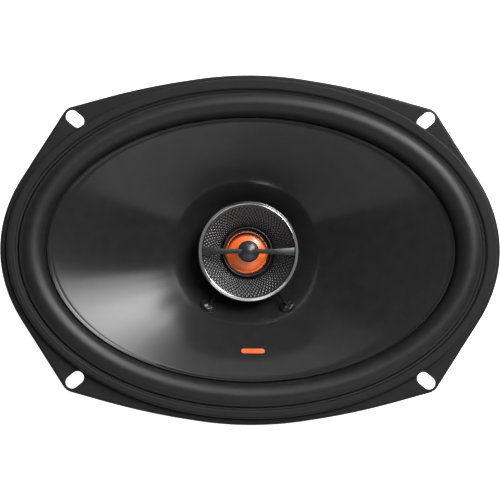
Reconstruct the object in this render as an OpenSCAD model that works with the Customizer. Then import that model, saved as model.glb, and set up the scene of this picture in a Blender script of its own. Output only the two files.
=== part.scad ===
// Coaxial 6 x 9 inch car speaker: oval woofer on a stamped steel basket, with a
// fixed dome tweeter on a post in front of the cone.
// Z = 0 is the flange's rear face, which seats on the panel. +Z points at the listener.

/* [Flange] */
// Overall width of the flange
flange_w = 235; // [225:1:245]
// Overall height of the flange
flange_h = 164.2; // [158:0.1:170]
// Thickness of the pressed steel sheet
sheet = 1.2; // [0.8:0.1:1.6]
// Half the slot spacing across the width
slot_x = 82.5; // [80:0.1:84]
// Half the slot spacing across the height
slot_y = 61.1; // [59:0.1:62.5]
// Width of a mounting slot
slot_w = 6; // [4.5:0.1:6.4]
// Overall length of a mounting slot
slot_l = 9.4; // [7:0.1:10]
// Angle of a slot's length from the width axis
slot_angle = 39; // [30:1:50]
// Rounding radius of an ear
ear_r = 6.6; // [5:0.1:8]

/* [Basket] */
// Depth from the flange's rear face to the back of the magnet
mounting_depth = 79; // [76:0.5:84]
// Width of the wall's clear opening
opening_w = 218; // [214:0.5:219]
// Height of the wall's clear opening
opening_h = 147.6; // [144:0.1:149]
// Depth of the wall's upright band
band_depth = 13; // [10:0.5:16]
// Depth of the ledge that holds the spider
ledge_depth = 40; // [39:0.5:42]
// Radius of the spider ledge
ledge_r = 51.5; // [50:0.5:54]
// Radius of the cup under the ledge
cup_r = 45; // [43:0.5:47]
// Number of windows between the arms
windows = 8; // [6:2:10]
// Width of one window as an angle
window_angle = 31; // [22:1:33]

/* [Cone and suspension] */
// Width of the cone at its edge
cone_w = 190.8; // [186:0.2:192]
// Height of the cone at its edge
cone_h = 123.2; // [120:0.2:124]
// Depth of the cone from its edge to its neck
cone_depth = 33; // [30:0.5:35]
// Thickness of the cone along Z
cone_t = 0.7; // [0.5:0.1:0.9]
// Curve of the cone's side: 1 is straight, more is flared
cone_flare = 1.35; // [1.1:0.05:1.5]
// Height of the surround's half roll
roll_h = 6.4; // [5:0.1:7]
// Thickness of the surround's rubber
rubber_t = 0.8; // [0.6:0.1:1]
// Height of the front gasket
gasket_t = 2.4; // [1.5:0.1:3]

/* [Voice coil] */
// Inner radius of the woofer's coil former
former_r = 15; // [14.9:0.05:15.1]
// Height of the winding
winding_h = 14; // [10:0.5:15]

/* [Motor] */
// Radius of the ferrite ring
magnet_r = 45; // [43:0.5:48]
// Thickness of the ferrite ring
magnet_t = 15; // [13:0.5:15]
// Thickness of each steel plate
plate_t = 6; // [5:0.5:6]
// Radius of the steel plates
plate_r = 42; // [40:0.5:43]
// Radius of the pole piece
pole_r = 14.3; // [14:0.05:14.4]

/* [Tweeter] */
// Outer radius of the trim ring
trim_r = 23.8; // [22:0.1:24.5]
// Depth of the trim ring's front below the flange's rear face
trim_depth = 11.5; // [10:0.5:12]
// Radius of the horn's mouth
mouth_r = 21.9; // [20:0.1:22]
// Radius of the horn's throat
throat_r = 12; // [11.8:0.1:12.4]
// Radius of the dome
dome_r = 9.3; // [8.8:0.1:9.4]
// Height of the dome
dome_h = 3; // [2:0.1:3.4]
// Radius of the phase plug's button
button_r = 5.1; // [4:0.1:6]

/* [Hidden] */
$fn = 96;

// Sides of the oval shells, and the play left at each glued or sliding fit
oval_sides = 64;
glue = 0.1;
fit_gap = 0.05;
cut = 1;

// Flange: the top edge sags from the middle to the ear by a power curve
edge_x = 77.4;
edge_sag = 13.5;
edge_power = 1.71;

// An ear's rounding is centred this far inside its slot's centre
ear_inset = [0.2, 0.65];

// Basket levels below Z = 0
seat_z = -mounting_depth + 2 * plate_t + magnet_t;
ledge_z = -ledge_depth;
wall_a = opening_w / 2;
wall_b = opening_h / 2;
shelf_w = 34;
shelf_y = [-65, -46.5];
window_inner = [58, 54];
window_outer = [99, 69];
rivet_r = 2;
rivet_circle_r = 30;

// Cone: u runs from 0 at the neck to 1 at the edge
neck_r = former_r + 0.25 + glue;
edge_z = 2;
neck_z = edge_z - cone_depth;
cone_steps = [0, 0.12, 0.26, 0.42, 0.6, 0.78, 0.94, 1];
lip_u = 0.94;
function cone_a(u) = neck_r + (cone_w / 2 - neck_r) * u;
function cone_b(u) = neck_r + (cone_h / 2 - neck_r) * u;
function cone_z(u) = neck_z + cone_depth * (1 - pow(1 - u, cone_flare));

// Surround: the roll stands between the cone's edge and the gasket
roll_out_a = 109.4;
roll_out_b = 74.2;
roll_in_a = cone_w / 2 + 1.2;
roll_in_b = cone_h / 2 + 0.8;
roll_base = 1.6;
lip_top = sheet + rubber_t;
lip_a = 114.4;
lip_b = 79;

// Gasket: its outer outline sits a little off centre and covers the end of one slot
gasket_outer = [115.2, 79.7];
gasket_inner = [110.4, 75];
gasket_shift = [0.6, 0.5];

// Woofer coil
former_t = 0.25;
former_top = neck_z + 2;
former_len = 35;
winding_t = 0.65;
gap_z = seat_z - plate_t / 2;
coil_gap_r = former_r + former_t + winding_t + 0.7;
pole_bore_r = 3.2;
screw_r = 2;
screw_head_r = 4.9;
screw_head_h = 2.6;

// Tweeter levels
trim_z = -trim_depth;
housing_z = trim_z - 4;
throat_z = trim_z - 9.1;
dome_z = throat_z - 1;
pot_r = 12.2;
pot_floor_z = -31;
pot_top_z = -22.4;
pot_t = 2;
pole_plate_r = 8.7;
pole_plate_z = pot_floor_z + 6;
post_r = 5.8;

// Leads: the front pair runs from the tweeter to the cone, the rear pair from the
// cone to the terminal board. Each route is for +X, and its mirror image is the other.
dab = [18.8, -25.5];
dab_u = 0.297;
dab_tilt = [37.1, 112.2];
dab_r = 2.8;
dab_h = 1.6;
lead_r = 0.55;
tinsel_r = 0.7;
front_route = [
    [12, -14.1, -21.8], [12.9, -16, -21.4], [14, -18.4, -20.2],
    [15.6, -20.9, -18.4], [17.4, -23.2, -16.9]
];
rear_route = [
    [17, -25.5, -21], [16.6, -27.5, -24], [15.6, -31, -27.5], [14, -36, -30.5],
    [12.4, -42, -32.5], [11, -48, -33.4], [10, -53, -34.2], [9.4, -56, -35.6],
    [9, -57.4, -37]
];
board_t = 1.6;
board_top = ledge_z + board_t;
board_y = [-67, -53.6];
terminal_x = 9;
rivet_y = -61;
terminal_rivet_r = 1.4;
tab_t = 0.8;

// ---------------------------------------------------------------- helpers

function ellipse_points(a, b, n = oval_sides) =
    [for (i = [0 : n - 1]) [a * cos(360 * i / n), b * sin(360 * i / n)]];

module oval(a, b, n = oval_sides) {
    polygon(ellipse_points(a, b, n));
}

// Sweeps a closed profile of [half width, half height, z] points round the Z axis
module oval_sweep(profile) {
    n = oval_sides;
    m = len(profile);
    points = [
        for (j = [0 : n - 1], p = profile)
            [p[0] * cos(360 * j / n), p[1] * sin(360 * j / n), p[2]]
    ];
    faces = [
        for (j = [0 : n - 1], i = [0 : m - 1])
            let (k = (j + 1) % n, l = (i + 1) % m)
            each [
                [j * m + i, j * m + l, k * m + l],
                [j * m + i, k * m + l, k * m + i]
            ]
    ];
    polyhedron(points, faces);
}

function unit(v) = v / norm(v);

// Sweeps a round wire along a route of points
module wire(route, r, sides = 8) {
    last = len(route) - 1;
    points = [
        for (i = [0 : last])
            let (
                along = unit(route[min(i + 1, last)] - route[max(i - 1, 0)]),
                across = unit(cross(along, [1, 0, 0])),
                up = cross(along, across)
            )
            for (s = [0 : sides - 1])
                route[i] + r * (across * cos(360 * s / sides) + up * sin(360 * s / sides))
    ];
    around = [
        for (i = [0 : last - 1], s = [0 : sides - 1])
            let (t = (s + 1) % sides)
            each [
                [i * sides + s, (i + 1) * sides + t, i * sides + t],
                [i * sides + s, (i + 1) * sides + s, (i + 1) * sides + t]
            ]
    ];
    caps = [
        [for (s = [0 : sides - 1]) s],
        [for (s = [sides - 1 : -1 : 0]) last * sides + s]
    ];
    polyhedron(points, concat(around, caps));
}

module both_sides() {
    children();
    mirror([1, 0, 0]) children();
}

module tube(r_in, r_out, z_low, z_high) {
    translate([0, 0, z_low]) difference() {
        cylinder(r = r_out, h = z_high - z_low);
        translate([0, 0, -cut]) cylinder(r = r_in, h = z_high - z_low + 2 * cut);
    }
}

module disc(r, z_low, z_high) {
    translate([0, 0, z_low]) cylinder(r = r, h = z_high - z_low);
}

// ---------------------------------------------------------------- basket

function top_edge(x) = flange_h / 2 - edge_sag * pow(abs(x) / edge_x, edge_power);

module flange_outline() {
    hull() {
        oval(flange_w / 2, flange_h / 2, 2 * oval_sides);
        polygon([
            for (side = [1, -1], i = [-8 : 8])
                let (x = edge_x * i / 8 * side) [x, top_edge(x) * side]
        ]);
        for (sx = [-1, 1], sy = [-1, 1])
            translate([sx * (slot_x - ear_inset[0]), sy * (slot_y - ear_inset[1])])
                circle(ear_r, $fn = 48);
    }
}

module slots() {
    half = (slot_l - slot_w) / 2;
    for (sx = [-1, 1], sy = [-1, 1])
        translate([sx * slot_x, sy * slot_y, -cut])
            rotate([0, 0, sx * sy * slot_angle]) {
                translate([-half, 0, 0]) cylinder(r = slot_w / 2, h = sheet + 2 * cut);
                translate([half, 0, 0]) cylinder(r = slot_w / 2, h = sheet + 2 * cut);
                translate([-half, -slot_w / 2, 0])
                    cube([2 * half, slot_w, sheet + 2 * cut]);
            }
}

// Plan of one window, between two arms
module window_plan(middle) {
    steps = 6;
    from = middle - window_angle / 2;
    angles = [for (i = [0 : steps]) from + window_angle * i / steps];
    polygon(concat(
        [for (t = angles) [window_inner[0] * cos(t), window_inner[1] * sin(t)]],
        [
            for (i = [steps : -1 : 0])
                [window_outer[0] * cos(angles[i]), window_outer[1] * sin(angles[i])]
        ]
    ));
}

module basket_wall() {
    shoulder_z = -band_depth;
    foot_z = ledge_z - 0.9;
    difference() {
        oval_sweep([
            [wall_a, wall_b, 0.8],
            [wall_a - 0.8, wall_b - 0.8, shoulder_z],
            [wall_a - 4, wall_b - 3, shoulder_z - 3],
            [ledge_r - 1.8, ledge_r - 1.8, foot_z],
            [ledge_r - 0.5, ledge_r - 0.5, foot_z],
            [wall_a - 3, wall_b - 2, shoulder_z - 4],
            [wall_a + 0.4, wall_b + 0.4, shoulder_z],
            [wall_a + sheet, wall_b + sheet, 0.8]
        ]);
        for (i = [0 : windows - 1])
            translate([0, 0, ledge_z])
                linear_extrude(height = ledge_depth - band_depth - 1)
                    window_plan(360 * i / windows);
    }
}

module basket_cup() {
    bottom = seat_z;
    rotate_extrude()
        polygon([
            [coil_gap_r + 1, bottom], [cup_r, bottom], [cup_r, ledge_z - sheet],
            [ledge_r, ledge_z - sheet], [ledge_r, ledge_z], [cup_r - sheet, ledge_z],
            [cup_r - sheet, bottom + sheet], [coil_gap_r + 1, bottom + sheet]
        ]);
}

module basket() {
    color("dimgray") difference() {
        union() {
            difference() {
                linear_extrude(height = sheet) flange_outline();
                translate([0, 0, -cut])
                    linear_extrude(height = sheet + 2 * cut)
                        oval(wall_a + 0.2, wall_b + 0.2);
            }
            basket_wall();
            basket_cup();
            translate([-shelf_w / 2, shelf_y[0], ledge_z - sheet])
                cube([shelf_w, shelf_y[1] - shelf_y[0], sheet]);
        }
        slots();
        rivet_places() disc(rivet_r + fit_gap, seat_z - cut, seat_z + sheet + cut);
        terminal_places() disc(terminal_rivet_r + fit_gap, ledge_z - sheet - cut, ledge_z + cut);
    }
}

// ---------------------------------------------------------------- suspension and cone

module front_gasket() {
    color("#2b2b2b") translate([0, 0, lip_top])
        linear_extrude(height = gasket_t)
            difference() {
                translate(gasket_shift) oval(gasket_outer[0], gasket_outer[1]);
                oval(gasket_inner[0], gasket_inner[1]);
            }
}

module surround() {
    mid_a = (roll_out_a + roll_in_a) / 2;
    mid_b = (roll_out_b + roll_in_b) / 2;
    half_a = (roll_out_a - roll_in_a) / 2;
    half_b = (roll_out_b - roll_in_b) / 2;
    under = cone_z(1) - cone_t - glue;
    under_lip = cone_z(lip_u) - cone_t - glue;
    arc = [for (t = [15 : 30 : 165]) t];
    color("#242424") oval_sweep(concat(
        [[lip_a, lip_b, lip_top], [roll_out_a + 0.6, roll_out_b + 0.6, lip_top]],
        [for (t = arc) [mid_a + half_a * cos(t), mid_b + half_b * cos(t), roll_base + roll_h * sin(t)]],
        [
            [roll_in_a, roll_in_b, under], [cone_a(1), cone_b(1), under],
            [cone_a(lip_u), cone_b(lip_u), under_lip],
            [cone_a(lip_u), cone_b(lip_u), under_lip - rubber_t],
            [cone_a(1), cone_b(1), under - rubber_t],
            [roll_in_a + rubber_t, roll_in_b + rubber_t, under - rubber_t]
        ],
        [
            for (i = [len(arc) - 1 : -1 : 0])
                [
                    mid_a + (half_a - rubber_t) * cos(arc[i]),
                    mid_b + (half_b - rubber_t) * cos(arc[i]),
                    roll_base + (roll_h - rubber_t) * sin(arc[i])
                ]
        ],
        [[roll_out_a, roll_out_b, sheet], [lip_a, lip_b, sheet]]
    ));
}

module cone() {
    count = len(cone_steps) - 1;
    collar_r = neck_r + cone_t;
    color("#1c1c1e") oval_sweep(concat(
        [for (u = cone_steps) [cone_a(u), cone_b(u), cone_z(u)]],
        [
            for (i = [count : -1 : 1])
                let (u = cone_steps[i]) [cone_a(u), cone_b(u), cone_z(u) - cone_t]
        ],
        [
            [collar_r + 0.1, collar_r + 0.1, neck_z - 0.6],
            [collar_r, collar_r, neck_z - 2.5], [neck_r, neck_r, neck_z - 2.5]
        ]
    ));
}

// A plain pill printed on the cone below the tweeter
module cone_badge() {
    badge_l = 11;
    badge_w = 2.6;
    badge_u = 0.69;
    rise = cone_depth * cone_flare * pow(1 - badge_u, cone_flare - 1);
    slope = atan(rise / (cone_h / 2 - neck_r));
    color("orangered")
        translate([1.5, -cone_b(badge_u), cone_z(badge_u) + 0.12])
            rotate([-slope, 0, 0]) linear_extrude(height = 0.2) {
                square([badge_l - badge_w, badge_w], center = true);
                for (sx = [-1, 1])
                    translate([sx * (badge_l - badge_w) / 2, 0]) circle(badge_w / 2, $fn = 32);
            }
}

module spider() {
    cloth = 0.5;
    first = 18;
    last = 43;
    steps = 25;
    waves = 5;
    mid = ledge_z + 0.9;
    function wave_z(i) = mid + 1.5 * sin(360 * waves * i / steps);
    color("goldenrod") rotate_extrude()
        polygon(concat(
            [[neck_r, mid]],
            [for (i = [0 : steps]) [first + (last - first) * i / steps, wave_z(i)]],
            [
                [44.2, ledge_z], [ledge_r - 3, ledge_z],
                [ledge_r - 3, ledge_z + cloth], [44, ledge_z + cloth]
            ],
            [
                for (i = [steps : -1 : 0])
                    [first + (last - first) * i / steps, wave_z(i) + cloth]
            ],
            [[neck_r, mid + cloth]]
        ));
}

// ---------------------------------------------------------------- woofer coil and motor

module voice_coil_former() {
    color("burlywood")
        tube(former_r, former_r + former_t, former_top - former_len, former_top);
}

module voice_coil_winding() {
    color("peru")
        tube(former_r + former_t, former_r + former_t + winding_t,
             gap_z - winding_h / 2, gap_z + winding_h / 2);
}

module glue_dabs() {
    color("#111111") both_sides()
        translate([dab[0], dab[1], cone_z(dab_u) + glue + 0.65])
            rotate([0, dab_tilt[0], dab_tilt[1]]) rotate_extrude($fn = 32)
                polygon([
                    [0, 0], [dab_r, 0],
                    for (t = [0 : 15 : 90]) [dab_r * cos(t), 0.2 + dab_h * sin(t)]
                ]);
}

module rivet_places() {
    for (t = [45 : 90 : 315])
        translate([rivet_circle_r * cos(t), rivet_circle_r * sin(t), 0]) children();
}

module terminal_places() {
    for (sx = [-1, 1])
        translate([sx * terminal_x, rivet_y, 0]) children();
}

module top_plate() {
    color("gray") difference() {
        tube(coil_gap_r, plate_r, seat_z - plate_t, seat_z);
        rivet_places() disc(rivet_r + fit_gap, seat_z - plate_t - cut, seat_z + cut);
    }
}

module ferrite_magnet() {
    edge = 1;
    bore_r = 20;
    low = seat_z - plate_t - magnet_t;
    high = seat_z - plate_t;
    color("#3a3a3c") rotate_extrude()
        polygon([
            [bore_r, low], [magnet_r - edge, low], [magnet_r, low + edge],
            [magnet_r, high - edge], [magnet_r - edge, high], [bore_r, high]
        ]);
}

module pole_yoke() {
    back = -mounting_depth;
    front = back + plate_t;
    color("gray") rotate_extrude()
        polygon([
            [screw_head_r, back], [plate_r - 1.5, back], [plate_r, back + 1.5], [plate_r, front],
            [pole_r + 3, front], [pole_r, front + 3], [pole_r, seat_z - 0.8],
            [pole_r - 0.8, seat_z], [pole_bore_r, seat_z],
            [pole_bore_r, back + screw_head_h], [screw_head_r, back + screw_head_h]
        ]);
}

module plate_rivets() {
    color("silver") rivet_places() {
        disc(rivet_r, seat_z - plate_t, seat_z + sheet);
        translate([0, 0, seat_z + sheet]) cylinder(r1 = 3.6, r2 = 2.6, h = 1.1);
    }
}

// ---------------------------------------------------------------- tweeter

module tweeter_post() {
    foot_r = 9;
    head_r = 10;
    hole_r = screw_r + fit_gap;
    spigot_r = pole_bore_r - fit_gap;
    spigot_z = seat_z - 9;
    color("#1a1a1a") rotate_extrude()
        polygon([
            [hole_r, spigot_z], [spigot_r, spigot_z], [spigot_r, seat_z], [foot_r, seat_z],
            [foot_r, seat_z + 1.5], [post_r, seat_z + 4], [post_r, pot_floor_z - 3.5],
            [head_r, pot_floor_z - 1.2], [head_r, pot_floor_z], [0, pot_floor_z],
            [0, seat_z + 8], [hole_r, seat_z + 7]
        ]);
}

module post_screw() {
    back = -mounting_depth;
    head_r = screw_head_r - 0.3;
    head_z = back + screw_head_h;
    color("silver") difference() {
        rotate_extrude()
            polygon([
                [0, back + 0.3], [head_r - 0.4, back + 0.3], [head_r, back + 0.9],
                [head_r, head_z], [screw_r, head_z], [screw_r, seat_z + 5],
                [screw_r - 0.8, seat_z + 6], [0, seat_z + 6]
            ]);
        for (t = [0, 90])
            translate([0, 0, back]) rotate([0, 0, t])
                translate([-2.6, -0.5, -0.1]) cube([5.2, 1, 2]);
    }
}

module tweeter_pot() {
    wall = 1.2;
    color("silver") rotate_extrude()
        polygon([
            [0, pot_floor_z], [pot_r, pot_floor_z], [pot_r, pot_top_z],
            [pot_r - wall, pot_top_z], [pot_r - wall, pot_floor_z + pot_t],
            [0, pot_floor_z + pot_t]
        ]);
}

module tweeter_magnet() {
    color("lightgray") disc(pole_plate_r - 0.3, pot_floor_z + pot_t, pole_plate_z);
}

module tweeter_pole_plate() {
    color("gray") disc(pole_plate_r, pole_plate_z, pole_plate_z + 1.8);
}

module tweeter_coil() {
    color("peru") tube(dome_r, dome_r + 0.5, dome_z - 5, dome_z);
}

// The cap's radius of curvature, and a point on it at a share s of its base radius
function cap_r(r, h) = (r * r + h * h) / (2 * h);
function cap_z(r, h, x) = sqrt(pow(cap_r(r, h), 2) - x * x) - (cap_r(r, h) - h);

module tweeter_dome() {
    film = 0.3;
    steps = 8;
    inner_r = dome_r - film;
    color("orangered") translate([0, 0, dome_z]) rotate_extrude()
        polygon(concat(
            [for (i = [0 : steps]) let (x = dome_r * i / steps) [x, film + cap_z(dome_r, dome_h, x)]],
            [[dome_r + 0.2, film], [dome_r + 0.2, 0]],
            [for (i = [steps : -1 : 0]) let (x = inner_r * i / steps) [x, cap_z(inner_r, dome_h, x)]]
        ));
}

module dome_suspension() {
    film = 0.3;
    inner = dome_r + 0.65;
    outer = 11.5;
    roll_end = 10.8;
    mid = (inner + roll_end) / 2;
    half = (roll_end - inner) / 2 - 0.05;
    color("firebrick") translate([0, 0, dome_z]) rotate_extrude()
        polygon(concat(
            [[inner, 0], [inner, film]],
            [for (t = [150 : -30 : 30]) [mid + half * cos(t), film + 0.6 * sin(t)]],
            [[roll_end, film], [outer, film], [outer, 0]],
            [for (t = [30 : 30 : 150]) [mid + (half - 0.15) * cos(t), 0.5 * sin(t)]]
        ));
}

// A collar in the throat, whose upright lip stands in front of the suspension
module dome_bezel() {
    outer = pot_r - 0.3;
    seat_r = 11.6;
    lip_r = [10.95, 11.5];
    lip_z = throat_z + 2.4;
    color("dimgray") rotate_extrude()
        polygon([
            [seat_r, dome_z - 0.8], [outer, dome_z - 0.8], [outer, throat_z - 0.1],
            [lip_r[1], throat_z], [lip_r[1], lip_z], [lip_r[0], lip_z],
            [lip_r[0], dome_z + 0.45], [seat_r, dome_z + 0.45]
        ]);
}

// Radius of the horn's face at a share s of the way from throat to mouth
function horn_r(s) = throat_r + (mouth_r - throat_r) * s;
function horn_z(s) = throat_z + (housing_z + 1.9 - throat_z) * pow(s, 0.85);

module horn() {
    steps = 6;
    thick = 1.2;
    color("#3c3c3e") rotate_extrude()
        polygon(concat(
            [for (i = [0 : steps]) [horn_r(i / steps), horn_z(i / steps)]],
            [for (i = [steps : -1 : 0]) [horn_r(i / steps), horn_z(i / steps) - thick]]
        ));
}

module tweeter_housing() {
    top = housing_z - 0.1;
    foot = pot_top_z - 2.2;
    color("#161616") rotate_extrude()
        polygon([
            [pot_r + 0.1, foot], [13.6, foot], [14.6, foot + 1], [19, foot + 4],
            [22.4, top - 1.8], [23.2, top], [22, top], [21.2, top - 1], [18, foot + 5.2],
            [14.4, foot + 2.6], [pot_r + 0.1, foot + 2.2]
        ]);
}

// A polished ring: a small bead inside, then a band that falls away outwards
module trim_ring() {
    low = housing_z;
    bead_r = mouth_r + 0.4;
    band_r = trim_r - 0.25;
    band_z = trim_z - 0.8;
    color("gainsboro") rotate_extrude()
        polygon([
            [mouth_r + 0.1, low], [trim_r - 0.3, low], [trim_r, low + 0.5],
            [trim_r, band_z - 0.4], [band_r, band_z], [bead_r + 0.3, trim_z - 0.1],
            [bead_r, trim_z], [mouth_r + 0.1, trim_z - 0.4]
        ]);
}

module phase_plug() {
    bar_top = trim_z - 0.5;
    bar_t = 1.4;
    end_w = 4;
    waist_w = 1.9;
    reach = mouth_r;
    button_h = 2;
    color("#3a3d42") {
        translate([0, 0, bar_top - bar_t]) linear_extrude(height = bar_t)
            polygon([
                [-reach, -end_w / 2], [-throat_r, -waist_w * 0.7], [0, -waist_w / 2],
                [throat_r, -waist_w * 0.7], [reach, -end_w / 2], [reach, end_w / 2],
                [throat_r, waist_w * 0.7], [0, waist_w / 2], [-throat_r, waist_w * 0.7],
                [-reach, end_w / 2]
            ]);
        translate([0, 0, bar_top - bar_t - 0.5]) rotate_extrude()
            polygon(concat(
                [[0, 0], [button_r - 0.6, 0], [button_r, 0.6]],
                [for (i = [8 : -1 : 0]) let (x = button_r * i / 8) [x, 0.6 + cap_z(button_r, button_h, x)]]
            ));
    }
}

// ---------------------------------------------------------------- wiring

module tweeter_leads() {
    color("#1a1a1a") both_sides() wire(front_route, lead_r);
}

module tinsel_leads() {
    color("silver") both_sides() wire(rear_route, tinsel_r);
}

module terminal_board() {
    color("#26221c") difference() {
        translate([-16, board_y[0], ledge_z])
            cube([32, board_y[1] - board_y[0], board_t]);
        terminal_places() disc(terminal_rivet_r + fit_gap, ledge_z - cut, board_top + cut);
    }
}

// A tab bent over the board's outer edge, of the given width
module terminal(width) {
    drop = 15;
    foot = 11;
    hole_r = 0.8;
    difference() {
        union() {
            translate([-width / 2, board_y[0] - tab_t, board_top])
                cube([width, foot, tab_t]);
            translate([-width / 2, board_y[0] - tab_t, board_top - drop])
                cube([width, tab_t, drop]);
        }
        translate([0, rivet_y, 0]) disc(terminal_rivet_r + fit_gap, board_top - cut, board_top + tab_t + cut);
        translate([0, board_y[0] - 2, board_top - drop + 3.2])
            rotate([-90, 0, 0]) cylinder(r = hole_r, h = 4);
    }
}

module positive_terminal() {
    color("gold") translate([terminal_x, 0, 0]) terminal(4.8);
}

module negative_terminal() {
    color("silver") translate([-terminal_x, 0, 0]) terminal(3.6);
}

module terminal_rivets() {
    head_z = board_top + tab_t;
    head_r = 2.2;
    head_t = 0.7;
    color("silver") terminal_places() {
        disc(terminal_rivet_r, ledge_z - sheet, head_z);
        disc(head_r, head_z, head_z + head_t);
        disc(head_r, ledge_z - sheet - head_t, ledge_z - sheet);
    }
}

module crossover_capacitor() {
    r = 3.4;
    half = 8;
    color("#22303c") translate([0, -56.5, ledge_z - sheet - r - 0.9]) rotate([0, 90, 0])
        rotate_extrude()
            polygon([
                [0, -half], [r - 0.5, -half], [r, 0.5 - half], [r, half - 2.6],
                [r - 0.35, half - 2.2], [r, half - 1.8], [r, half - 0.5],
                [r - 0.5, half], [0, half]
            ]);
}

module capacitor_leads() {
    axis_z = ledge_z - sheet - 4.3;
    color("silver") both_sides()
        wire([
            [8.1, -56.5, axis_z], [9.4, -56.9, axis_z], [10.2, -57.8, axis_z + 0.6],
            [10.3, -58.4, axis_z + 2], [10.2, -58.6, axis_z + 3.4]
        ], 0.4);
}

// ---------------------------------------------------------------- nodes

basket();
front_gasket();
surround();
cone();
cone_badge();
spider();
voice_coil_former();
voice_coil_winding();
glue_dabs();
top_plate();
ferrite_magnet();
pole_yoke();
plate_rivets();
tweeter_post();
post_screw();
tweeter_pot();
tweeter_magnet();
tweeter_pole_plate();
tweeter_coil();
tweeter_dome();
dome_suspension();
dome_bezel();
horn();
tweeter_housing();
trim_ring();
phase_plug();
tweeter_leads();
tinsel_leads();
terminal_board();
positive_terminal();
negative_terminal();
terminal_rivets();
crossover_capacitor();
capacitor_leads();
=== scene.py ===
import math

import bmesh
import bpy
from mathutils import Matrix, Vector, geometry


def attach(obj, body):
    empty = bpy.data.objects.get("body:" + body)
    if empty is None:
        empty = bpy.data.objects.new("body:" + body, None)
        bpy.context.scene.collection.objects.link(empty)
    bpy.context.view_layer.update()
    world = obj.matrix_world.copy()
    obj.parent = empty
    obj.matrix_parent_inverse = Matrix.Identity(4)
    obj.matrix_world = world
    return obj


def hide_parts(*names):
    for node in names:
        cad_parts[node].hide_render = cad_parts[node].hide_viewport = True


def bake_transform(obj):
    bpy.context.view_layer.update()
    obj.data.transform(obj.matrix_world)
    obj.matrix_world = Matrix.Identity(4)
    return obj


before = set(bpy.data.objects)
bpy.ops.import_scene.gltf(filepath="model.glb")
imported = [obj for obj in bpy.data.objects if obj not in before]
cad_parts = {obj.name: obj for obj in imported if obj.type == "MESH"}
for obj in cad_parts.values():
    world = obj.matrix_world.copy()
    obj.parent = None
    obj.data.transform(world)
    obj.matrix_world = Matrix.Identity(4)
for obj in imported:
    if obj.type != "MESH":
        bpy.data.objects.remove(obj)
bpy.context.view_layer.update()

MM = 0.001
FRAME = "frame_assembly"
CONE = "cone_assembly"
DOME = "dome_assembly"

# ------------------------------------------------------------------ sizes, in mm

FLANGE_HALF = (117.5, 82.1)
FLANGE_TOP = 1.2
EDGE_X, EDGE_SAG, EDGE_POWER = 77.4, 13.5, 1.71
EAR = (82.3, 60.45, 6.6)
SLOT = (82.5, 61.1, 3.0, 1.7, 39.0)
WALL_TOP = (109.6, 74.4)
GASKET_SHIFT = (0.6, 0.5)

NECK_R = 15.35
CONE_HALF = (95.4, 61.6)
CONE_EDGE_Z = 2.0
CONE_DEPTH = 33.0
CONE_FLARE = 1.35
CONE_T = 0.7

LEDGE_Z = -40.0

# The motor's levels from front to back, and its shared radii
PLATE_Z = -52
MAGNET_Z = -58
YOKE_Z = -73
BACK_Z = -79
MAGNET_R = 45
POLE_R = 14.3
COIL_R = 15.27

# Where the half roll meets the gasket and the cone, as half width and half height
ROLL_OUTER = (109.4, 74.2)
ROLL_INNER = (96.6, 62.4)

WINDOW_PITCH = 45
WINDOW_HALF = 15
ARM_HALF = 4
ARM_RIB = 0.9
SHEET = 1.15

THROAT_Z = -20.6
THROAT_R = 12
HORN_WIDTH = 9.9
HORN_DEPTH = 7.0
HORN_GROOVES = 36
HORN_SWIRL = 28
HORN_RELIEF = 0.43
HORN_RINGS = 64
DOME_Z = -21.6
DOME_R, DOME_H = 9.3, 3.0


def cone_point(share):
    """Half width, half height and level of the cone's face, from neck (0) to edge (1)."""
    rise = CONE_DEPTH * (1 - (1 - share) ** CONE_FLARE)
    return (NECK_R + (CONE_HALF[0] - NECK_R) * share,
            NECK_R + (CONE_HALF[1] - NECK_R) * share,
            CONE_EDGE_Z - CONE_DEPTH + rise)


# ------------------------------------------------------------------ shaping tools

def triple(point):
    """A profile point as half width, half height and level: round pieces give (r, z)."""
    return Vector((point[0], point[0], point[1])) if len(point) == 2 else Vector(point)


def softened(profile, radius, closed=True, steps=3):
    """The profile with each corner rounded, and a holding point on both sides of the round."""
    points = [triple(p) for p in profile]
    result = []
    last = len(points) - 1
    for i, corner in enumerate(points):
        if not closed and i in (0, last):
            result.append(corner)
            continue
        before, after = points[i - 1], points[(i + 1) % len(points)]
        reach = min(radius, 0.4 * (corner - before).length, 0.4 * (corner - after).length)
        into = (before - corner).normalized()
        out = (after - corner).normalized()
        if into.dot(out) < -0.995:
            result.append(corner)
            continue
        start, end = corner + into * reach, corner + out * reach
        result.append(start + into * reach * 0.15)
        for k in range(steps + 1):
            t = k / steps
            result.append(start * (1 - t) ** 2 + corner * 2 * t * (1 - t) + end * t ** 2)
        result.append(end + out * reach * 0.15)
    return result


def spun(profile, steps=128, closed=True):
    """A profile turned round Z. Each point keeps its own half height, so ovals work too."""
    bm = bmesh.new()
    half_height = bm.verts.layers.float.new("half_height")
    verts = []
    for point in (triple(p) for p in profile):
        vert = bm.verts.new((point.x, 0, point.z))
        vert[half_height] = point.y
        verts.append(vert)
    edges = [bm.edges.new(pair) for pair in zip(verts, verts[1:])]
    if closed:
        edges.append(bm.edges.new((verts[-1], verts[0])))
    bmesh.ops.spin(bm, geom=verts + edges, axis=(0, 0, 1), cent=(0, 0, 0), steps=steps,
                   angle=2 * math.pi, use_merge=True)
    for vert in bm.verts:
        reach = math.hypot(vert.co.x, vert.co.y)
        if reach > 1e-6:
            vert.co.y *= vert[half_height] / reach
    return bm


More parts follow.
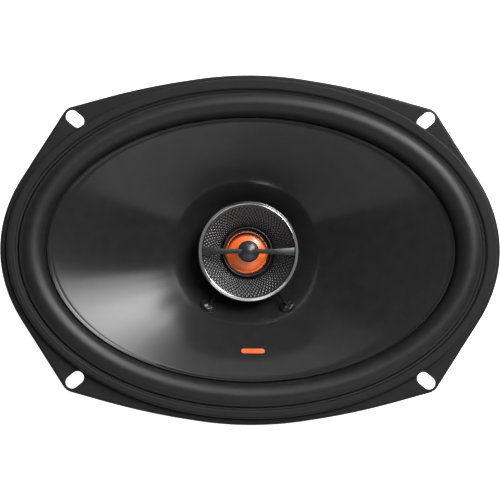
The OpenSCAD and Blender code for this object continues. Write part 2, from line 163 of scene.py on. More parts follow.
def made(bm, name, body, finish, nodes=(), crease=32, outward=True):
    """Turns a bmesh in mm into a finished piece that moves with a body."""
    bmesh.ops.remove_doubles(bm, verts=bm.verts, dist=1e-5)
    if outward:
        bmesh.ops.recalc_face_normals(bm, faces=bm.faces)
    bmesh.ops.scale(bm, vec=(MM, MM, MM), verts=bm.verts)
    mesh = bpy.data.meshes.new(name)
    bm.to_mesh(mesh)
    bm.free()
    mesh.shade_smooth()
    mesh.set_sharp_from_angle(angle=math.radians(crease))
    mesh.materials.append(finish)
    piece = bpy.data.objects.new(name, mesh)
    bpy.context.collection.objects.link(piece)
    if body:
        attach(piece, body)
    if nodes:
        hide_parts(*nodes)
    return piece


def flexing(piece, share):
    """Bakes the piece's place into its mesh and works out how far each point would follow a moving body
    (share); the shares are not kept.
    """
    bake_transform(piece)
    follow = [min(1.0, max(0.0, share(v.co / MM))) for v in piece.data.vertices]
    return piece


def smooth_step(t):
    t = min(1.0, max(0.0, t))
    return t * t * (3 - 2 * t)


def curve_through(route, detail):
    """Points of a smooth curve that passes through every point of the route."""
    points = [Vector(p) for p in route]
    ends = [points[0] * 2 - points[1]] + points + [points[-1] * 2 - points[-2]]
    path = []
    for a, b, c, d in zip(ends, ends[1:], ends[2:], ends[3:]):
        for k in range(detail):
            t = k / detail
            path.append(0.5 * (2 * b + (c - a) * t + (2 * a - 5 * b + 4 * c - d) * t ** 2
                               + (3 * b - a - 3 * c + d) * t ** 3))
    return path + [points[-1]]


def wire(route, radius, sides=12, detail=6):
    """A round lead along a smooth curve through the route's points."""
    path = curve_through(route, detail)
    bm = bmesh.new()
    ring = bmesh.ops.create_circle(bm, radius=radius, segments=sides)["verts"]
    edges = list({e for v in ring for e in v.link_edges})
    along = (path[1] - path[0]).normalized()
    turn = along.to_track_quat("Z", "Y").to_matrix().to_4x4()
    bmesh.ops.transform(bm, matrix=Matrix.Translation(path[0]) @ turn, verts=ring)
    for i in range(1, len(path)):
        grown = bmesh.ops.extrude_edge_only(bm, edges=edges)["geom"]
        ring = [g for g in grown if isinstance(g, bmesh.types.BMVert)]
        inside = set(ring)
        edges = [g for g in grown if isinstance(g, bmesh.types.BMEdge) and set(g.verts) <= inside]
        heading = (path[min(i + 1, len(path) - 1)] - path[i - 1]).normalized()
        bend = along.rotation_difference(heading).to_matrix().to_4x4()
        move = Matrix.Translation(path[i]) @ bend @ Matrix.Translation(-path[i - 1])
        bmesh.ops.transform(bm, matrix=move, verts=ring)
        along = heading
    bmesh.ops.holes_fill(bm, edges=[e for e in bm.edges if e.is_boundary], sides=sides)
    return bm


def joined(*parts):
    """Several bmeshes as one."""
    whole = bmesh.new()
    for part in parts:
        mesh = bpy.data.meshes.new("part")
        part.to_mesh(mesh)
        part.free()
        whole.from_mesh(mesh)
        bpy.data.meshes.remove(mesh)
    return whole


def mirrored(build):
    """The same shape on both sides of the middle."""
    left = build()
    bmesh.ops.scale(left, vec=(-1, 1, 1), verts=left.verts)
    return joined(build(), left)


# ------------------------------------------------------------------ finishes

def node(tree, kind, inputs=None, **settings):
    made_node = tree.nodes.new("ShaderNode" + kind)
    for key, value in settings.items():
        setattr(made_node, key, value)
    for key, value in (inputs or {}).items():
        if isinstance(value, bpy.types.NodeSocket):
            tree.links.new(value, made_node.inputs[key])
        else:
            made_node.inputs[key].default_value = value
    return made_node


def calc(tree, operation, a, b=0.0):
    return node(tree, "Math", {0: a, 1: b}, operation=operation).outputs[0]


def noise(tree, coords, scale, detail=3.0):
    return node(tree, "TexNoise", {"Vector": coords, "Scale": scale, "Detail": detail}).outputs["Fac"]


def spread(tree, value, low, high):
    ranged = node(tree, "MapRange", {"Value": value, "From Min": 0.3, "From Max": 0.7,
                                     "To Min": low, "To Max": high})
    return ranged.outputs["Result"]


def finish(name, color, rough, metal=0.0, mottle=0.2, grain=1500.0, relief=0.01,
           rough_spread=0.06, pattern=None, pattern_depth=0.02, tint=None, **shader):
    """A surface with grain, mottled colour and uneven gloss. Depths are in mm."""
    material = bpy.data.materials.new(name)
    material.use_nodes = True
    tree = material.node_tree
    surface = tree.nodes["Principled BSDF"]
    coords = node(tree, "TexCoord").outputs["Object"]
    fine = noise(tree, coords, grain)
    broad = noise(tree, coords, grain / 14, 5.0)
    ramp = node(tree, "ValToRGB", {"Fac": tint(tree, coords) if tint else broad})
    low, high = ramp.color_ramp.elements
    low.position, high.position = (0.0, 1.0) if tint else (0.35, 0.65)
    other = shader.pop("color2", None)
    low.color = [c * (1 - mottle) for c in color] + [1]
    high.color = (list(other) if other else [min(1, c * (1 + mottle)) for c in color]) + [1]
    tree.links.new(ramp.outputs["Color"], surface.inputs["Base Color"])
    tree.links.new(spread(tree, calc(tree, "ADD", calc(tree, "MULTIPLY", fine, 0.5),
                                     calc(tree, "MULTIPLY", broad, 0.5)),
                          max(0.02, rough - rough_spread), min(1, rough + rough_spread)),
                   surface.inputs["Roughness"])
    bump = node(tree, "Bump", {"Height": fine, "Distance": relief * MM, "Strength": 1.0})
    if pattern:
        bump = node(tree, "Bump", {"Height": pattern(tree, coords), "Distance": pattern_depth * MM,
                                   "Strength": 1.0, "Normal": bump.outputs["Normal"]})
    tree.links.new(bump.outputs["Normal"], surface.inputs["Normal"])
    surface.inputs["Metallic"].default_value = metal
    for key, value in shader.items():
        surface.inputs[key.replace("_", " ")].default_value = value
    return material


def flat_direction(tree, coords):
    """The direction from the middle, so that a pattern runs straight outwards."""
    flat = node(tree, "VectorMath", {0: coords, 1: (1.0, 1.55, 0.0)}, operation="MULTIPLY")
    return node(tree, "VectorMath", {0: flat.outputs[0]}, operation="NORMALIZE").outputs[0]


def from_axis(tree, coords):
    flat = node(tree, "VectorMath", {0: coords, 1: (1.0, 1.0, 0.0)}, operation="MULTIPLY")
    return node(tree, "VectorMath", {0: flat.outputs[0]}, operation="LENGTH").outputs["Value"]


def radial_brushing(tree, coords):
    return noise(tree, flat_direction(tree, coords), 55.0, 4.0)


def turning_marks(tree, coords):
    return noise(tree, node(tree, "CombineXYZ", {"X": from_axis(tree, coords)}).outputs[0], 2600.0, 3.0)


def weave(tree, coords):
    waves = [node(tree, "TexWave", {"Vector": coords, "Scale": 260.0, "Distortion": 0.6},
                  bands_direction=axis).outputs["Fac"] for axis in "XY"]
    return calc(tree, "MAXIMUM", *waves)


def braid(tree, coords):
    waves = [node(tree, "TexWave", {"Vector": coords, "Scale": 480.0},
                  bands_direction=axis).outputs["Fac"] for axis in "XYZ"]
    return calc(tree, "MAXIMUM", calc(tree, "MULTIPLY", waves[0], waves[1]), waves[2])


def windings(tree, coords):
    return node(tree, "TexWave", {"Vector": coords, "Scale": 900.0}, bands_direction="Z").outputs["Fac"]


def dome_painted_shade(tree, coords):
    """Painted shade: 0 at the dome's edge, 1 over most of its face, with the painted dark edge widest at
    the top, where the bezel's shadow falls.
    """
    # The centre is moved down, so the painted shade reaches furthest in at the top and is gone at the
    # bottom
    lowered = node(tree, "VectorMath", {0: coords, 1: (0.0, 0.0016, 0.0)}, operation="ADD").outputs[0]
    ranged = node(tree, "MapRange", {"Value": from_axis(tree, lowered), "From Min": 0.0101,
                                     "From Max": 0.0086, "To Min": 0.0, "To Max": 1.0},
                  interpolation_type="SMOOTHSTEP")
    return ranged.outputs["Result"]


black_steel = finish("black_steel", (0.006, 0.006, 0.0063), 0.42, mottle=0.2, grain=2600, relief=0.01,
                     Specular_IOR_Level=0.22)
gasket_rubber = finish("gasket_rubber", (0.0065, 0.0065, 0.0068), 0.55, mottle=0.15, grain=3200,
                       relief=0.01, Specular_IOR_Level=0.22)
surround_rubber = finish("surround_rubber", (0.0085, 0.0085, 0.0088), 0.42, mottle=0.15, grain=3600,
                         relief=0.004, Specular_IOR_Level=0.31)
cone_film = finish("cone_film", (0.013, 0.013, 0.0133), 0.6, mottle=0.1, grain=2400, relief=0.002,
                   rough_spread=0.03, pattern=radial_brushing, pattern_depth=0.045,
                   Specular_IOR_Level=0.02, Coat_Weight=1.0, Coat_Roughness=0.17, Coat_IOR=1.376)
badge_print = finish("badge_print", (0.85, 0.13, 0.03), 0.4, grain=2500, relief=0.004)
spider_cloth = finish("spider_cloth", (0.42, 0.3, 0.12), 0.85, pattern=weave, pattern_depth=0.12)
former_film = finish("former_film", (0.28, 0.16, 0.07), 0.5, grain=2500)
copper_wire = finish("copper_wire", (0.72, 0.3, 0.13), 0.32, metal=1.0, pattern=windings,
                     pattern_depth=0.08)
black_glue = finish("black_glue", (0.01, 0.01, 0.0105), 0.3, grain=700, relief=0.05,
                    Specular_IOR_Level=0.35)
plated_steel = finish("plated_steel", (0.36, 0.36, 0.37), 0.36, metal=1.0, mottle=0.12,
                      pattern=turning_marks, pattern_depth=0.01)
ferrite = finish("ferrite", (0.045, 0.045, 0.05), 0.72, mottle=0.35, grain=1800, relief=0.05)
zinc_steel = finish("zinc_steel", (0.55, 0.55, 0.56), 0.3, metal=1.0, mottle=0.1)
black_plastic = finish("black_plastic", (0.02, 0.02, 0.021), 0.45, mottle=0.2, grain=2200, relief=0.012)
nickel_magnet = finish("nickel_magnet", (0.62, 0.6, 0.57), 0.18, metal=1.0, mottle=0.05)
# The dome's colour runs from orange to dark red towards its top edge: painted shade where the bezel's
# shadow falls
dome_film = finish("dome_film", (0.05, 0.004, 0.003), 0.36, mottle=0.0, grain=2800, relief=0.004,
                   tint=dome_painted_shade, color2=(0.92, 0.15, 0.02), Coat_Weight=0.5, Coat_Roughness=0.14)
dome_edge = finish("dome_edge", (0.07, 0.004, 0.003), 0.4, grain=2800, relief=0.004)
horn_plastic = finish("horn_plastic", (0.011, 0.011, 0.012), 0.24, mottle=0.15, grain=2600, relief=0.004,
                      Specular_IOR_Level=0.9)
trim_chrome = finish("trim_chrome", (0.8, 0.81, 0.83), 0.08, metal=1.0, mottle=0.02, grain=900,
                     relief=0.001, rough_spread=0.02)
plug_plastic = finish("plug_plastic", (0.016, 0.017, 0.02), 0.27, mottle=0.12, grain=2600, relief=0.004)
lead_sheath = finish("lead_sheath", (0.005, 0.005, 0.005), 0.65, Specular_IOR_Level=0.12,
                     pattern=braid, pattern_depth=0.05)
tinsel_braid = finish("tinsel_braid", (0.6, 0.55, 0.46), 0.4, metal=0.9, pattern=braid,
                      pattern_depth=0.12)
board_phenolic = finish("board_phenolic", (0.08, 0.04, 0.018), 0.55, mottle=0.3, grain=1500)
terminal_brass = finish("terminal_brass", (0.72, 0.5, 0.2), 0.28, metal=1.0, mottle=0.12)
terminal_tin = finish("terminal_tin", (0.6, 0.59, 0.57), 0.33, metal=1.0, mottle=0.12)
capacitor_sleeve = finish("capacitor_sleeve", (0.015, 0.025, 0.06), 0.25, mottle=0.15, grain=1200)

# ------------------------------------------------------------------ basket

def flange_loop():
    """The outline of the flange: an oval pulled out to four ears."""
    a, b = FLANGE_HALF
    ear_x, ear_y, ear_r = EAR
    points = [(a * math.cos(math.tau * k / 240), b * math.sin(math.tau * k / 240)) for k in range(240)]
    for side in (1, -1):
        for i in range(-24, 25):
            x = EDGE_X * i / 24
            points.append((x, side * (b - EDGE_SAG * (abs(x) / EDGE_X) ** EDGE_POWER)))
        for across in (1, -1):
            points += [(across * ear_x + ear_r * math.cos(math.tau * k / 48),
                        side * ear_y + ear_r * math.sin(math.tau * k / 48)) for k in range(48)]
    return [points[i] for i in geometry.convex_hull_2d([Vector(p) for p in points])]


def slot_loop(across, side):
    x, y, r, half, angle = SLOT
    turn = Matrix.Rotation(math.radians(angle * across * side), 2)
    points = []
    for end in (1, -1):
        for k in range(17):
            t = math.radians(-90 + 180 * k / 16)
            spot = turn @ Vector((end * (half + r * math.cos(t)), end * r * math.sin(t)))
            points.append((across * x + spot.x, side * y + spot.y))
    return points


def oval_loop(a, b, count=128):
    return [(a * math.cos(math.tau * k / count), b * math.sin(math.tau * k / count))
            for k in range(count)]


def flange_plate():
    bm = bmesh.new()
    face = bm.faces.new([bm.verts.new((x, y, FLANGE_TOP)) for x, y in flange_loop()])
    face.normal_update()
    if face.normal.z < 0:
        face.normal_flip()
    bmesh.ops.solidify(bm, geom=[face], thickness=FLANGE_TOP)
    low = min(v.co.z for v in bm.verts)
    bmesh.ops.translate(bm, vec=(0, 0, -low), verts=bm.verts)
    rim = [e for e in bm.edges if all(v.co.z > FLANGE_TOP - 0.01 for v in e.verts)]
    bmesh.ops.bevel(bm, geom=rim, offset=0.95, segments=4, profile=0.5, affect="EDGES", material=-1)
    top = max(bm.faces, key=lambda f: f.calc_area() if f.calc_center_median().z > 1.0 else 0)
    bmesh.ops.inset_region(bm, faces=[top], thickness=0.2)
    wide = sorted(bm.faces, key=lambda f: f.calc_area())[-2:]
    bmesh.ops.delete(bm, geom=wide, context="FACES_ONLY")
    rims = {level: [e for e in bm.edges if e.is_boundary and abs(e.verts[0].co.z - level) < 0.01]
            for level in (0.0, FLANGE_TOP)}
    holes = [slot_loop(x, y) for x in (1, -1) for y in (1, -1)] + [oval_loop(*WALL_TOP)]
    for loop in holes:
        sides = []
        for level, edges in rims.items():
            verts = [bm.verts.new((x, y, level)) for x, y in loop]
            ring = [bm.edges.new(pair) for pair in zip(verts, verts[1:] + verts[:1])]
            edges += ring
            sides += ring
        bmesh.ops.bridge_loops(bm, edges=sides)
    for edges in rims.values():
        bmesh.ops.triangle_fill(bm, use_beauty=True, edges=edges, normal=(0, 0, 1))
    return bm


def basket_wall():
    """The pressed wall: an upright band, arms between windows, the spider ledge and the cup."""
    slope_top, slope_foot = Vector((105.3, 71.2, -17.2)), Vector((51.9, 51.9, -40.1))
    slope = [slope_top.lerp(slope_foot, t) for t in (0, 0.07, 0.15, 0.3, 0.5, 0.7, 0.86, 0.93, 1)]
    window_top, window_foot = slope[2].z, slope[6].z
    rows = [Vector((*WALL_TOP, 0.5)), Vector((109.5, 74.3, -2.5)), Vector((109.1, 73.9, -10.5)),
            Vector((108.1, 73.0, -14.2))] + slope
    rows += [triple(p) for p in ((50.4, -40.6), (46.4, -40.6), (44.6, -41.2), (44.4, -42.5),
                                 (44.4, -49.6), (43.9, -51.1), (42.2, -51.4), (36, -51.4),
                                 (24, -51.4), (17.9, -51.4))]
    bm = spun(rows, steps=72, closed=False)
    windows = []
    for face in bm.faces:
        middle = face.calc_center_median()
        if window_foot < middle.z < window_top:
            share = (middle.z - slope_foot.z) / (slope_top.z - slope_foot.z)
            half = slope_foot.lerp(slope_top, share)
            turn = math.degrees(math.atan2(middle.y / half.y, middle.x / half.x))
            if abs((turn + WINDOW_PITCH / 2) % WINDOW_PITCH - WINDOW_PITCH / 2) < WINDOW_HALF:
                windows.append(face)
    bmesh.ops.delete(bm, geom=windows, context="FACES")
    for vert in bm.verts:
        if window_foot - 0.1 < vert.co.z < window_top + 0.1:
            share = (vert.co.z - slope_foot.z) / (slope_top.z - slope_foot.z)
            half = slope_foot.lerp(slope_top, share)
            turn = math.degrees(math.atan2(vert.co.y / half.y, vert.co.x / half.x))
            if abs(turn % WINDOW_PITCH - WINDOW_PITCH / 2) < ARM_HALF:
                vert.co.z += ARM_RIB
    bmesh.ops.recalc_face_normals(bm, faces=bm.faces)
    bmesh.ops.solidify(bm, geom=list(bm.faces), thickness=SHEET)
    return bm


made(flange_plate(), "basket_flange", FRAME, black_steel, ["basket"])
wall = made(basket_wall(), "basket_wall", FRAME, black_steel, ["basket"], crease=60,
            outward=False)
curve = wall.modifiers.new("rounding", "SUBSURF")
curve.levels = curve.render_levels = 2

# ------------------------------------------------------------------ gasket, surround and cone

def gasket_band():
    """The raised band. Its outer side sits a little off centre, towards one slot."""
    bm = spun(softened([(115.2, 79.7, 2.0), (115.2, 79.7, 3.9), (114.5, 79.0, 4.35), (111.4, 75.9, 4.35),
                        (110.4, 75.0, 3.9), (110.4, 75.0, 2.0)], 0.35), steps=256)
    for vert in bm.verts:
        if (vert.co.x / 112.6) ** 2 + (vert.co.y / 77.2) ** 2 > 1:
            vert.co.x += GASKET_SHIFT[0]
            vert.co.y += GASKET_SHIFT[1]
    return bm


made(gasket_band(), "front_gasket", FRAME, gasket_rubber, ["front_gasket"])


def roll(half_inset, height, base):
    """The half roll's arc, from its outer foot to its inner foot."""
    outer, inner = Vector(ROLL_OUTER), Vector(ROLL_INNER)
    middle, half = (outer + inner) / 2, (outer - inner) / 2
    arc = []
    for k in range(21):
        t = math.radians(9 * k)
        spot = middle + (half - Vector((half_inset, half_inset))) * math.cos(t)
        foot = base[0] + (base[1] - base[0]) * k / 20
        arc.append((spot.x, spot.y, foot + height * math.sin(t)))
    return arc


def surround_section():
    outer = roll(0.0, 4.95, (3.4, 2.1))
    under = roll(0.8, 5.2, (1.6, 1.3))
    seat = cone_point(0.94)
    return ([(114.4, 79.0, 2.0), (111.0, 75.7, 2.0), (110.35, 74.95, 3.5)] + outer
            + [(96.2, 62.1, 1.15), (95.4, 61.6, 1.15), (seat[0], seat[1], seat[2] - 0.8),
               (seat[0], seat[1], seat[2] - 1.6), (95.4, 61.6, 0.35), (97.0, 63.0, 0.4)]
            + under[::-1] + [(109.6, 74.4, 1.2), (114.4, 79.0, 1.2)])


def oval_share(point, inner, outer):
    """How far a point is from the inner oval (0) to the outer oval (1)."""
    low, high = 0.0, 1.0
    for _ in range(14):
        middle = (low + high) / 2
        a = inner[0] + (outer[0] - inner[0]) * middle
        b = inner[1] + (outer[1] - inner[1]) * middle
        if (point.x / a) ** 2 + (point.y / b) ** 2 > 1:
            low = middle
        else:
            high = middle
    return low


surround = made(spun(surround_section(), steps=256), "surround", None,
                surround_rubber, ["surround"], crease=50)
flexing(surround, lambda p: 1 - smooth_step(oval_share(p, (96.8, 62.6), (109.2, 74.0))))


def cone_section():
    shares = [(k / 44) for k in range(45)]
    face = [cone_point(u) for u in shares[:-1]]
    lip = [(94.6, 60.9, 1.78), (95.0, 61.25, 2.05), (95.3, 61.5, 2.25), (95.55, 61.7, 2.25),
           (95.7, 61.85, 2.0), (95.65, 61.8, 1.35)]
    back = [(a, b, z - CONE_T) for a, b, z in reversed([cone_point(u) for u in shares[1:-2]])]
    collar = [(16.15, 16.15, -31.6), (16.05, 16.05, -33.5), (NECK_R, NECK_R, -33.5)]
    return face + lip + back + collar


made(spun(cone_section(), steps=256), "cone", CONE, cone_film, ["cone"], crease=40)


def spider_section():
    top = []
    for i in range(101):
        wave = 1.5 * math.sin(math.tau * 5 * i / 100) * smooth_step(min(i, 100 - i) / 8)
        top.append((18 + 25 * i / 100, LEDGE_Z + 1.35 + wave))
    bottom = [(r, z - 0.45) for r, z in reversed(top)]
    return ([(NECK_R + 0.05, LEDGE_Z + 1.35)] + top + [(44.4, LEDGE_Z + 0.5), (48.4, LEDGE_Z + 0.5),
            (48.4, LEDGE_Z), (44.2, LEDGE_Z)] + bottom + [(NECK_R + 0.05, LEDGE_Z + 0.9)])


spider = made(spun(spider_section(), steps=144), "spider", None, spider_cloth,
              ["spider"], crease=60)
flexing(spider, lambda p: 1 - smooth_step((math.hypot(p.x, p.y) - 17) / 27))

# ------------------------------------------------------------------ motor

made(spun(softened([(20, YOKE_Z), (MAGNET_R - 0.8, YOKE_Z), (MAGNET_R, YOKE_Z + 0.8),
                    (MAGNET_R, MAGNET_Z - 0.8), (MAGNET_R - 0.8, MAGNET_Z), (20, MAGNET_Z)], 0.35)),
     "ferrite_magnet", FRAME, ferrite, ["ferrite_magnet"])
made(spun(softened([(16.6, MAGNET_Z), (42, MAGNET_Z), (42, PLATE_Z), (16.6, PLATE_Z)], 0.5)),
     "top_plate", FRAME, plated_steel, ["top_plate"])
made(spun(softened([(4.9, BACK_Z), (40.5, BACK_Z), (42, BACK_Z + 1.5), (42, YOKE_Z),
                    (POLE_R + 3, YOKE_Z), (POLE_R, YOKE_Z + 3), (POLE_R, PLATE_Z - 0.8),
                    (POLE_R - 0.8, PLATE_Z), (3.2, PLATE_Z), (3.2, -76.4), (4.9, -76.4)], 0.4)),
     "pole_yoke", FRAME, plated_steel, ["pole_yoke"])


def rivet_heads():
    parts = []
    for t in (45, 135, 225, 315):
        head = spun(softened([(0, -58), (2, -58), (2, -50.8), (3.6, -50.8), (3.5, -50.2), (2.6, -49.8),
                              (0, -49.7)], 0.25, closed=False), steps=32, closed=False)
        spot = (30 * math.cos(math.radians(t)), 30 * math.sin(math.radians(t)), 0)
        bmesh.ops.translate(head, vec=spot, verts=head.verts)
        parts.append(head)
    return joined(*parts)


made(rivet_heads(), "plate_rivets", FRAME, zinc_steel, ["plate_rivets"])
made(spun(softened([(15, -64), (15.25, -64), (15.25, -29), (15, -29)], 0.05)),
     "voice_coil_former", CONE, former_film, ["voice_coil_former"])
made(spun(softened([(COIL_R, -62), (15.9, -62), (15.9, -48), (COIL_R, -48)], 0.15)),
     "voice_coil_winding", CONE, copper_wire, ["voice_coil_winding"])

# ------------------------------------------------------------------ tweeter

made(spun(softened([(2.05, -61), (3.15, -61), (3.15, PLATE_Z), (9, PLATE_Z), (9, -50.5), (5.8, -48),
                    (5.8, -34.5), (10, -32.2), (10, -31), (0, -31)], 0.4, closed=False),
          closed=False, steps=96),
     "tweeter_post", FRAME, black_plastic, ["tweeter_post"])
made(spun(softened([(0, -31), (12.2, -31), (12.2, -22.4), (11, -22.4), (11, -29), (0, -29)], 0.4,
                   closed=False), closed=False, steps=96),
     "tweeter_pot", FRAME, zinc_steel, ["tweeter_pot"])
made(spun(softened([(12.3, -24.6), (13.6, -24.6), (14.6, -23.6), (19, -20.6), (22.4, -17.4),
                    (23.2, -15.6), (22, -15.6), (21.2, -16.6), (18, -19.4), (14.4, -22),
                    (12.3, -22.4)], 0.4), steps=160),
     "tweeter_housing", FRAME, black_plastic, ["tweeter_housing"])
made(spun(softened([(22.0, -15.5), (22.9, -15.5), (23.1, -15.2), (23.8, -12.85), (23.55, -12.3),
                    (22.6, -11.68), (22.35, -11.52), (22.1, -11.65), (22.02, -12.2)], 0.3), steps=192),
     "trim_ring", FRAME, trim_chrome, ["trim_ring"])


def horn_level(share):
    return THROAT_Z + HORN_DEPTH * share ** 0.85


def horn_face():
    """A flared face pressed with two crossed sets of spiral grooves."""
    front = [(THROAT_R + HORN_WIDTH * k / HORN_RINGS, horn_level(k / HORN_RINGS))
             for k in range(HORN_RINGS + 1)]
    back = [(THROAT_R + HORN_WIDTH * k / 8, horn_level(k / 8) - 1.2) for k in range(8, -1, -1)]
    bm = spun(front + back, steps=720)
    for vert in bm.verts:
        reach = math.hypot(vert.co.x, vert.co.y)
        share = (reach - THROAT_R) / HORN_WIDTH
        if vert.co.z < horn_level(max(0, share)) - 0.6:
            continue
        turn = math.atan2(vert.co.y, vert.co.x)
        swirl = HORN_SWIRL * math.log(reach)
        diamond = abs(math.sin(HORN_GROOVES * turn + swirl) * math.sin(HORN_GROOVES * turn - swirl))
        band = smooth_step((reach - 12.5) / 0.5) * smooth_step((21.4 - reach) / 0.4)
        vert.co.z += HORN_RELIEF * (diamond - 0.4) * band
    return bm


made(horn_face(), "horn", FRAME, horn_plastic, ["horn"], crease=70)
made(spun(softened([(11.6, -22.4), (11.9, -22.4), (11.9, -20.7), (11.65, -20.5), (11.65, -18.2),
                    (11.15, -18.2), (11.15, -21.1), (11.6, -21.1)], 0.18), steps=128),
     "dome_bezel", FRAME, plug_plastic, ["dome_bezel"])


def cap_level(r, height, x):
    big = (r * r + height * height) / (2 * height)
    return math.sqrt(big * big - x * x) - (big - height)


def dome_section():
    film = 0.3
    top = [(DOME_R * k / 24, DOME_Z + film + cap_level(DOME_R, DOME_H, DOME_R * k / 24))
           for k in range(25)]
    inside = DOME_R - film
    under = [(inside * k / 12, DOME_Z + cap_level(inside, DOME_H, inside * k / 12))
             for k in range(12, -1, -1)]
    return top + [(DOME_R + 0.2, DOME_Z + film), (DOME_R + 0.2, DOME_Z)] + under


made(spun(dome_section(), steps=128, closed=False), "tweeter_dome", DOME, dome_film,
     ["tweeter_dome"], crease=60)


def suspension_section():
    inner, edge, film = DOME_R + 0.65, 10.8, 0.3
    middle, half = (inner + edge) / 2, (edge - inner) / 2 - 0.05
    top = [(middle + half * math.cos(math.radians(t)), DOME_Z + film + 0.6 * math.sin(math.radians(t)))
           for t in range(165, 0, -15)]
    under = [(middle + (half - 0.15) * math.cos(math.radians(t)),
              DOME_Z + 0.5 * math.sin(math.radians(t)))
             for t in range(15, 180, 15)]
    return ([(inner, DOME_Z), (inner, DOME_Z + film)] + top
            + [(11.5, DOME_Z + film), (11.5, DOME_Z)] + under)


suspension = made(spun(suspension_section(), steps=128), "dome_suspension", None, dome_edge,
                  ["dome_suspension"], crease=60)
flexing(suspension, lambda p: 1 - smooth_step((math.hypot(p.x, p.y) - 9.95) / 0.85))


def phase_plug():
    """A bow-tie bar across the horn, with a round button in its middle."""
    half = [(-21.9, 2.0), (-12, 1.25), (0, 0.95), (12, 1.25), (21.9, 2.0)]
    outline = half + [(x, -y) for x, y in reversed(half)]
    bar = bmesh.new()
    face = bar.faces.new([bar.verts.new((x, y, -12.0)) for x, y in outline])
    face.normal_update()
    if face.normal.z < 0:
        face.normal_flip()
    bmesh.ops.solidify(bar, geom=[face], thickness=1.35)
    top = max(v.co.z for v in bar.verts)
    bmesh.ops.translate(bar, vec=(0, 0, -12.05 - top), verts=bar.verts)
    rim = [e for e in bar.edges if e.calc_face_angle(0) > 0.6]
    bmesh.ops.bevel(bar, geom=rim, offset=0.25, segments=3, profile=0.5, affect="EDGES", material=-1)
    dish = [(5.1 * k / 16, -13.3 + cap_level(5.1, 2.0, 5.1 * k / 16)) for k in range(16)]
    button = spun(dish + [(5.0, -13.25), (5.1, -13.4), (4.9, -13.75), (4.5, -13.9), (0, -13.9)],
                  steps=96, closed=False)
    return joined(bar, button)


made(phase_plug(), "phase_plug", FRAME, plug_plastic, ["phase_plug"])

# ------------------------------------------------------------------ leads and glue

LEAD_START = Vector((12.0, -14.1, -21.8))


def front_lead():
    return wire([LEAD_START, (12.9, -16, -21.4), (14, -18.4, -20.2), (15.6, -20.9, -18.4),
                 (17.2, -23.2, -17.0), (18.2, -24.8, -16.8), (18.9, -26.0, -17.6)], 0.55)


leads = made(mirrored(front_lead), "tweeter_leads", None, lead_sheath, ["tweeter_leads"],
             crease=60)
flexing(leads, lambda p: smooth_step((Vector((abs(p.x), p.y, p.z)) - LEAD_START).length / 12))


def tinsel_lead():
    return wire([(17, -25.5, -20.6), (16.6, -27.5, -24), (15.6, -31, -27.5), (14, -36, -30.5),
                 (12.4, -42, -32.5), (11, -48, -33.4), (10, -53, -34.2), (9.4, -56, -35.6),
                 (9, -57.4, -37.2)], 0.7)


tinsel = made(mirrored(tinsel_lead), "tinsel_leads", None, tinsel_braid,
              ["tinsel_leads"], crease=60)
flexing(tinsel, lambda p: 1 - smooth_step((-p.y - 25.5) / 31))


DAB_R, DAB_H = 3.0, 1.6
DAB_SPOT = (18.8, -25.6, -18.1)
DAB_TURN, DAB_TILT = 112.2, 37.1


def glue_dab():
    """A blob that has set over the lead, drawn out along it."""
    dab = spun([(DAB_R * math.cos(math.radians(t)), DAB_H * math.sin(math.radians(t)))
                for t in range(0, 91, 9)]
               + [(0, -0.4), (2.5, -0.4)], steps=40, closed=True)
    bmesh.ops.scale(dab, vec=(1.0, 1.3, 1.0), verts=dab.verts)
    for vert in dab.verts:
        vert.co.z += 0.3 * math.sin(1.9 * vert.co.x + 0.6) * math.cos(1.5 * vert.co.y)
    tilt = Matrix.Translation(DAB_SPOT) @ Matrix.Rotation(math.radians(DAB_TURN), 4, "Z") \
        @ Matrix.Rotation(math.radians(DAB_TILT), 4, "Y")
    bmesh.ops.transform(dab, matrix=tilt, verts=dab.verts)
    return dab


made(mirrored(glue_dab), "glue_dabs", CONE, black_glue, ["glue_dabs"], crease=60)


def coil_lead_out():
    """A fine lead glued down on the cone, from the coil to the dab."""
    spots = [(9.4, -22.5, 0.12), (10.6, -25.6, 0.19), (12.6, -28.2, 0.26), (15.2, -28.6, 0.3),
             (17.2, -27.2, 0.31)]
    route = []
    for x, y, share in spots:
        level = cone_point(share)[2]
        route.append((x, y, level + 0.5))
    return wire(route, 0.45, sides=10)


made(mirrored(coil_lead_out), "coil_lead_outs", CONE, black_glue, crease=60)

# ------------------------------------------------------------------ CAD nodes that keep their shape

CAD_FINISHES = {
    "cone_badge": badge_print, "post_screw": zinc_steel, "tweeter_magnet": nickel_magnet,
    "tweeter_pole_plate": plated_steel, "tweeter_coil": copper_wire, "terminal_board": board_phenolic,
    "positive_terminal": terminal_brass, "negative_terminal": terminal_tin,
    "terminal_rivets": zinc_steel, "crossover_capacitor": capacitor_sleeve,
    "capacitor_leads": tinsel_braid,
}
for name, material in CAD_FINISHES.items():
    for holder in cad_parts[name].material_slots:
        holder.material = material

# ------------------------------------------------------------------ floor, lights and camera

floor_bm = bmesh.new()
bmesh.ops.create_grid(floor_bm, x_segments=1, y_segments=1, size=8.0)
# Just under the magnet's back, so that the two faces don't lie in one plane
bmesh.ops.translate(floor_bm, vec=(0, 0, (BACK_Z - 0.1) * MM), verts=floor_bm.verts)
floor_mesh = bpy.data.meshes.new("floor")
floor_bm.to_mesh(floor_mesh)
floor_bm.free()
floor = bpy.data.objects.new("floor", floor_mesh)
bpy.context.collection.objects.link(floor)
floor_mesh.materials.append(finish("pale_floor", (0.8, 0.8, 0.8), 0.8, mottle=0.01, relief=0.0,
                                   Emission_Color=(1, 1, 1, 1), Emission_Strength=0.85))


def aimed(back, up):
    """A turn whose -Z points away from back, with its Y towards up."""
    back = Vector(back).normalized()
    right = Vector(up).cross(back).normalized()
    return Matrix((right, back.cross(right), back)).transposed().to_euler()


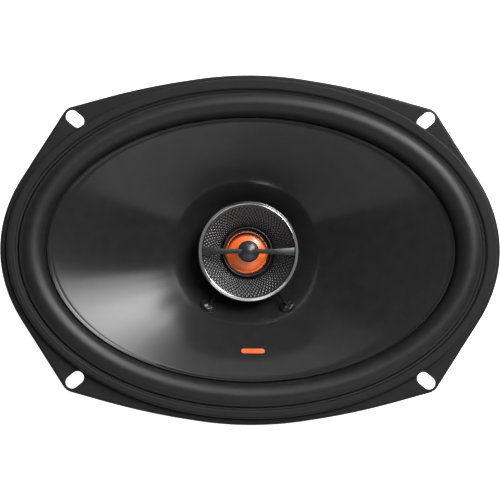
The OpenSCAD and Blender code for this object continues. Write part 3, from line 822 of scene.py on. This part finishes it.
def panel(name, around, lean, glow):
    """An upright panel of even glow that faces the middle.

    around: where it starts and ends, in degrees round Z from +X.
    lean: how far from straight up it starts and ends, in degrees.
    """
    turn = math.radians((around[0] + around[1]) / 2)
    top, foot = (PANEL_REACH / math.tan(math.radians(angle)) for angle in lean)
    light = bpy.data.lights.new(name, "AREA")
    light.shape = "RECTANGLE"
    light.size = 2 * PANEL_REACH * math.tan(math.radians(around[1] - around[0]) / 2)
    light.size_y = top - foot
    light.energy = glow * math.pi * light.size * light.size_y
    outwards = Vector((math.cos(turn), math.sin(turn), 0))
    lamp = bpy.data.objects.new(name, light)
    lamp.location = outwards * PANEL_REACH + Vector((0, 0, (top + foot) / 2))
    lamp.rotation_euler = aimed(outwards, (0, 0, 1))
    bpy.context.collection.objects.link(lamp)


PANEL_REACH = 1.2
LOW_END_SHARE = 0.6
panel("key_start", (25, 33), (18, 58), 7.6)
panel("key_rise", (33, 41), (18, 61), 12.0)
panel("key_middle", (41, 54), (18, 63), 18.5)
panel("key_fall", (54, 61), (18, 67), 13.0)
panel("key_end", (61, 67), (18, 67), 4.0)
panel("top_panel", (67, 101), (36, 60), 1.1)
panel("top_end", (101, 113), (36, 62), 0.55)
LOW_BANDS = (("low_high", (20, 54), 1.15), ("low_middle", (54, 61), 1.0), ("low_foot", (61, 67), 0.7))
for name, lean, strength in LOW_BANDS:
    panel(name, (-80, -34), lean, strength)
    panel(name + "_end", (-140, -80), lean, strength * LOW_END_SHARE)

world = bpy.data.worlds.new("studio")
bpy.context.scene.world = world
world.use_nodes = True
sky = world.node_tree
height = node(sky, "SeparateXYZ", {0: node(sky, "TexCoord").outputs["Generated"]}).outputs["Z"]
glow = node(sky, "ValToRGB", {"Fac": height}).outputs["Color"]
bands = glow.node.color_ramp.elements
SKY_BANDS = ((0.0, 0.35), (0.1, 0.24), (0.45, 0.2), (0.6, 0.08), (0.8, 0.2), (1.0, 0.16))
for spot, level in SKY_BANDS[1:-1]:
    bands.new(spot)
for band, (spot, level) in zip(bands, SKY_BANDS):
    band.position = spot
    band.color = (level, level, level, 1)
sky.links.new(glow, sky.nodes["Background"].inputs["Strength"])
sky.nodes["Background"].inputs["Color"].default_value = (1, 1, 1, 1)

# The camera stands far off, a little to the left of the axis and below it
CAMERA_REACH = 3.5
CAMERA_LEAN = (-4.5, -2.9)
VIEW_WIDTH = 0.2343
SENSOR_WIDTH = 36
camera_data = bpy.data.cameras.new("camera")
camera = bpy.data.objects.new("camera", camera_data)
bpy.context.collection.objects.link(camera)
lean = [math.sin(math.radians(angle)) for angle in CAMERA_LEAN]
camera.location = Vector((lean[0], lean[1], math.sqrt(1 - lean[0] ** 2 - lean[1] ** 2))) * CAMERA_REACH
camera.rotation_euler = aimed(camera.location, (0, 1, 0))
camera_data.lens = SENSOR_WIDTH * CAMERA_REACH / VIEW_WIDTH
camera_data.shift_x = -0.0013
camera_data.clip_end = 50.0
bpy.context.scene.camera = camera
bpy.context.scene.view_settings.view_transform = "Standard"
